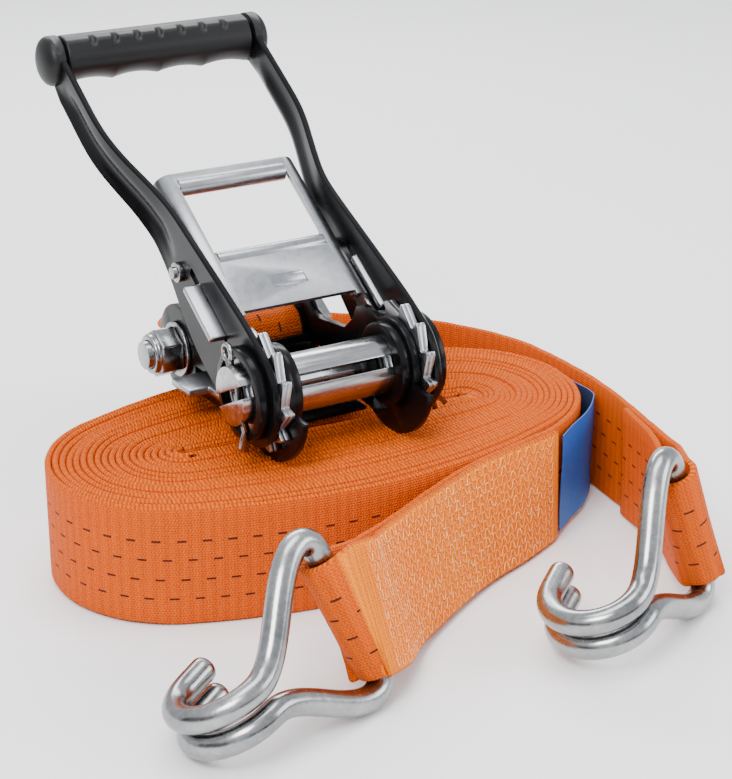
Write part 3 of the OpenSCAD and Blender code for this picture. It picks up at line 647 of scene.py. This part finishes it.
def platePiece(name, s, node):
    # Rows run along the handle; each row is a closed section with eased edges. A bead is pressed inward:
    # d = 1.7 exp(-((w - middle) / 3.6)^2). The lower edge turns outward: d = 1.3 exp(-((w - low) / 2.2)^2).
    u = np.concatenate([-22.5 * np.cos(np.linspace(0.12, np.pi / 2, 16)), np.linspace(1.5, 189, 126),
                        191 + 6.3 * np.sin(np.linspace(0, 1.45, 9))])
    low = np.interp(u, [p[0] for p in plate["low"]][1:], [p[1] for p in plate["low"]][1:])
    high = np.interp(u, [p[0] for p in plate["high"]], [p[1] for p in plate["high"]])
    hub = u < 0
    low[hub], high[hub] = -np.sqrt(22.5 ** 2 - u[hub] ** 2), np.sqrt(22.5 ** 2 - u[hub] ** 2)
    tail = u > 191
    shrink = np.sqrt(np.clip(1 - ((u[tail] - 191) / 6.4) ** 2, 0, 1))
    low[tail], high[tail] = -8.5 * shrink, 7.5 * shrink
    soft = relax(np.column_stack([low, high]), 6)
    keep = (u > 8) & (u < 188)
    low[keep], high[keep] = soft[keep, 0], soft[keep, 1]
    bow = np.interp(u, [p[0] for p in plate["bow"]], [p[1] for p in plate["bow"]])
    bow = relax(bow[:, None], 30)[:, 0]
    cols = 26
    f = np.linspace(0, 1, cols)
    w = low[:, None] + (high - low)[:, None] * f[None, :]
    # The bead fades in from u = 74 to 90 and out from 162 to 176
    centre = high * 0.38 + low * 0.62
    fade = np.clip((u - 74) / 16, 0, 1) * np.clip((176 - u) / 14, 0, 1)
    bead = 1.7 * fade[:, None] * np.exp(-((w - centre[:, None]) / 3.6) ** 2)
    rim = 1.3 * np.clip((u - 70) / 30, 0, 1)[:, None] * np.exp(-((w - low[:, None]) / 2.2) ** 2)
    rim = rim * np.clip((186 - u) / 12, 0, 1)[:, None]
    e = plate["ease"]
    innerFace = plate["inner"] + bow[:, None] - bead + rim
    outer = innerFace + plate["thickness"]
    outer[:, [0, -1]] -= e
    innerFace[:, [0, -1]] += e
    wIn = w.copy()
    wIn[:, 1], wIn[:, -2] = np.minimum(w[:, 0] + e, w[:, 1]), np.maximum(w[:, -1] - e, w[:, -2])
    uu = np.repeat(u[:, None], cols, 1)
    a = np.stack([outer * s, uu, wIn], -1)
    b = np.stack([innerFace * s, uu, wIn], -1)[:, ::-1]
    section = np.concatenate([a, b], 1)
    if s > 0:
        section = section[:, ::-1]
    points = onHandle(section).reshape(-1, 3)
    piece = makeMesh(name, points, skinQuads(len(u), 2 * cols), blackPaint)
    # Bore, spring slot and rivet hole
    cutters = []
    middle = s * (plate["inner"] + plate["thickness"] / 2)
    ring = np.linspace(0, 2 * np.pi, 64, endpoint=False)
    for kind, along, height, size in (("bore", 0, 0, 12.15), ("rivet", 68, -4, 2.6)):
        rings = np.stack([np.stack([np.full(64, middle + dx), along + size * np.cos(ring),
                                    height + size * np.sin(ring)], 1) for dx in (-8, 8)])
        cutters.append(makeMesh(name + kind, onHandle(rings).reshape(-1, 3), skinQuads(2, 64), blackPaint))
    box = np.array([[[middle + dx, u0, w0] for u0, w0 in
                     ((23.5, 2.4), (61.5, 2.4), (61.5, 6.2), (23.5, 6.2))] for dx in (-8, 8)])
    cutters.append(makeMesh(name + "slot", onHandle(box).reshape(-1, 3), skinQuads(2, 4), blackPaint))
    for cutter in cutters:
        cut = piece.modifiers.new("cut", "BOOLEAN")
        cut.operation, cut.solver, cut.object = "DIFFERENCE", "EXACT", cutter
    bpy.context.view_layer.update()
    cutMesh = bpy.data.meshes.new_from_object(piece.evaluated_get(bpy.context.evaluated_depsgraph_get()))
    piece.modifiers.clear()
    piece.data = cutMesh
    cutMesh.polygons.foreach_set("use_smooth", np.ones(len(cutMesh.polygons), bool))
    cutMesh.set_sharp_from_angle(angle=math.radians(35))
    for cutter in cutters:
        bpy.data.objects.remove(cutter)
    return place(piece, "handle", "black_paint", node)


handlePlateLeft = platePiece("handlePlateLeft", -1, "handle_plate_left")
handlePlateRight = platePiece("handlePlateRight", 1, "handle_plate_right")
print("stage: handle plates")


def turnedRing(name, plan, s):
    # Collar about the spindle on side s, with its outer corners eased
    x0, x1 = sorted((s * plan["from"], s * plan["to"]))
    inner, outer, b = plan["inner"], plan["outer"], plan["ease"]
    profile = [(x0, inner), (x0, outer - b), (x0 + b * 0.3, outer - b * 0.3), (x0 + b, outer),
               (x1 - b, outer), (x1 - b * 0.3, outer - b * 0.3), (x1, outer - b), (x1, inner)]
    angles = np.linspace(0, 2 * np.pi, 72, endpoint=False)
    rings = np.array([[[px, pr * math.cos(a), pr * math.sin(a)] for px, pr in profile] for a in angles])
    points = (rings + spindleAt).reshape(-1, 3)
    piece = makeMesh(name, points, skinQuads(72, len(profile), loop=True), blackPaint, sharp=40)
    return place(piece, plan["body"], "black_paint")


# Pressed hub rims outside the handle plates, and collars inside the frame plates
hubs = {"hubRim": {"from": 38.1, "to": 43.0, "inner": 15.8, "outer": 19.2, "ease": 1.2, "body": "handle"},
        "frameCollar": {"from": 27.1, "to": 22.5, "inner": 12.15, "outer": 17.5, "ease": 0.9,
                        "body": "frame"}}
for label, s in (("Left", -1), ("Right", 1)):
    for name, plan in hubs.items():
        turnedRing(name + label, plan, s)
print("stage: hubs")

# Springs, each with a mesh of its own
spring = {"pawl": {"radius": 2.6, "wire": 0.5, "turns": 6, "start": 47.8, "length": 17.8, "drop": -15.0,
                   "pull": 4.5},
          "slide": {"radius": 2.0, "wire": 0.45, "turns": 5, "start": 55.0, "length": 10.2, "drop": -9.4,
                    "pull": 6.0, "side": 30.4}}


def coil(plan, x):
    # Helix about the second axis: radius (cos a, sin a) while the length grows in proportion to a
    a = np.linspace(0, 2 * np.pi * plan["turns"], 24 * plan["turns"] + 1)
    along = plan["start"] + plan["length"] * a / a[-1]
    return np.stack([x + plan["radius"] * np.cos(a), along, plan["drop"] + plan["radius"] * np.sin(a)], 1)


def springRings(path, wire):
    rings = tubeRings(path, np.full(len(path), wire), 10, (0, 1, 0))
    return rings.reshape(-1, 3), skinQuads(len(path), 10)


def shorter(piece):
    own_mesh(piece)


pawlCoil = spindleAt + coil(spring["pawl"], 0)
pawlSpring = joinMeshes("pawlSpring", [springRings(pawlCoil, spring["pawl"]["wire"])], springSteel)
place(pawlSpring, "frame_pawl", "spring_steel", "frame_pawl_spring")
shorter(pawlSpring)
slideCoils = [onHandle(coil(spring["slide"], s * spring["slide"]["side"])) for s in (-1, 1)]
slideParts = [springRings(path, spring["slide"]["wire"]) for path in slideCoils]
slideSprings = joinMeshes("slideSprings", slideParts, springSteel)
place(slideSprings, "release_slide", "spring_steel", "slide_springs")
shorter(slideSprings)
print("stage: springs")

# CAD nodes that keep their shape

finishes = {
    "zinc_wire": (wireZinc, ["anchor_bolt", "anchor_nut", "anchor_washers", "cotter_pin_left",
                             "cotter_pin_right", "spindle_washers", "spring_posts", "slide_rivets",
                             "grip_rod"]),
    "turned": (turnedSteel, ["spindle_bar_upper", "spindle_bar_lower"]),
    "zinc_sheet": (sheetZinc, ["wheel_left_outer", "wheel_left_inner", "wheel_right_inner",
                               "wheel_right_outer", "slide_plate", "slide_wings", "frame_pawl",
                               "anchor_spacer"]),
    "black_paint": (blackPaint, ["frame_plate_left", "frame_plate_right", "frame_web",
                                 "spring_bracket"])}
eased = {"frame_plate_left": 0.7, "frame_plate_right": 0.7, "frame_web": 0.5, "spring_bracket": 0.5,
         "slide_plate": 0.5, "slide_wings": 0.7, "frame_pawl": 0.5, "spring_posts": 0.5,
         "anchor_nut": 0.9, "anchor_bolt": 0.6, "anchor_washers": 0.4, "spindle_washers": 0.4,
         "spindle_bar_upper": 0.5, "spindle_bar_lower": 0.5, "wheel_left_outer": 0.25,
         "wheel_left_inner": 0.25, "wheel_right_inner": 0.25, "wheel_right_outer": 0.25}
for material, names in finishes.values():
    for name in names:
        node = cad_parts[name]
        node.data.materials.clear()
        node.data.materials.append(material)
        node.data.polygons.foreach_set("use_smooth", np.ones(len(node.data.polygons), bool))
        weld = node.modifiers.new("weld", "WELD")
        weld.merge_threshold = 0.00002
        if name in eased:
            bevel = node.modifiers.new("ease", "BEVEL")
            bevel.width, bevel.segments, bevel.angle_limit = eased[name] * mm, 2, math.radians(38)
            bevel.use_clamp_overlap = True
            bevel.harden_normals = False
        sharp = 16 if name in ("slide_plate", "frame_pawl") else 38
        node.data.set_sharp_from_angle(angle=math.radians(sharp))
# The nodes that finer pieces stand for carry the same materials
stoodFor = {"hook": wireZinc, "strap": orange, "handle": blackPaint, "grip": gripPlastic, "tag": tagBlue,
            "spring": springSteel}
for name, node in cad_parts.items():
    if all(name not in names for _, names in finishes.values()):
        kind = next(word for word in stoodFor if word in name)
        node.data.materials.clear()
        node.data.materials.append(stoodFor[kind])
print("stage: plated and painted parts")

# Floor, light and camera

floorMesh = bpy.data.meshes.new("floor")
floorMesh.from_pydata([(-6, -6, 0), (6, -6, 0), (6, 6, 0), (-6, 6, 0)], [], [(0, 1, 2, 3)])
floor = bpy.data.objects.new("floor", floorMesh)
bpy.context.scene.collection.objects.link(floor)
floorNodes = Nodes("paleFloor")
floorTone = floorNodes.noise(floorNodes.objectPoint(), 3.0, 2.0)
floorMesh.materials.append(floorNodes.finish(
    Base_Color=floorNodes.mix(floorTone, (0.94, 0.94, 0.94, 1), (0.97, 0.97, 0.97, 1)), Roughness=0.9))

world = bpy.data.worlds.new("studio")
bpy.context.scene.world = world
world.use_nodes = True
world.node_tree.nodes["Background"].inputs["Color"].default_value = (0.93, 0.96, 1.0, 1)
world.node_tree.nodes["Background"].inputs["Strength"].default_value = 1.15


def towards(start, end):
    # Rotation that points a lamp or a camera from start to end
    return (Vector(end) - Vector(start)).to_track_quat("-Z", "Y").to_euler()


def addLight(name, start, aim, size, power, colour=(1, 1, 1)):
    data = bpy.data.lights.new(name, "AREA")
    data.shape, data.size, data.size_y = "RECTANGLE", size[0], size[1]
    data.energy, data.color = power, colour
    lamp = bpy.data.objects.new(name, data)
    lamp.location = start
    lamp.rotation_euler = towards(start, aim)
    bpy.context.scene.collection.objects.link(lamp)


addLight("key", (-0.7, -0.55, 0.95), (0, 0, 0.05), (0.55, 0.4), 14.0, (1.0, 0.98, 0.95))
addLight("fill", (0.9, -0.7, 0.55), (0, 0, 0.05), (0.6, 0.5), 6.0)
addLight("rim", (0.35, 0.95, 0.8), (0, 0, 0.1), (0.9, 0.3), 10.0)
addLight("top", (-0.05, 0.0, 1.2), (0, 0, 0), (0.5, 0.9), 9.0)


def addCard(name, corners, tone):
    # Dark cards outside the view give the metal its dark lines
    mesh = bpy.data.meshes.new(name)
    mesh.from_pydata(corners, [], [(0, 1, 2, 3)])
    card = bpy.data.objects.new(name, mesh)
    bpy.context.scene.collection.objects.link(card)
    nodes = Nodes(name)
    grain = nodes.noise(nodes.objectPoint(), 5.0, 1.0)
    colour = nodes.mix(grain, (tone,) * 3 + (1,), (tone * 1.3,) * 3 + (1,))
    mesh.materials.append(nodes.finish(Base_Color=colour, Roughness=0.9))
    card.visible_camera = False


addCard("cardLeft", [(-1.1, -0.9, 0.0), (-1.1, 0.5, 0.0), (-1.1, 0.5, 0.42), (-1.1, -0.9, 0.42)], 0.02)
addCard("cardFront", [(-0.5, -1.35, 0.0), (0.9, -1.35, 0.0), (0.9, -1.35, 0.3), (-0.5, -1.35, 0.3)], 0.02)

cameraData = bpy.data.cameras.new("camera")
cameraData.lens, cameraData.sensor_width = 95.65, 36.0
camera = bpy.data.objects.new("camera", cameraData)
camera.location = (-0.3848, -0.6980, 0.3926)
camera.rotation_euler = towards(camera.location, (0.04662, 0.04241, 0.040))
cameraData.clip_start, cameraData.clip_end = 0.02, 20
bpy.context.scene.collection.objects.link(camera)
bpy.context.scene.camera = camera

print("stage: done")
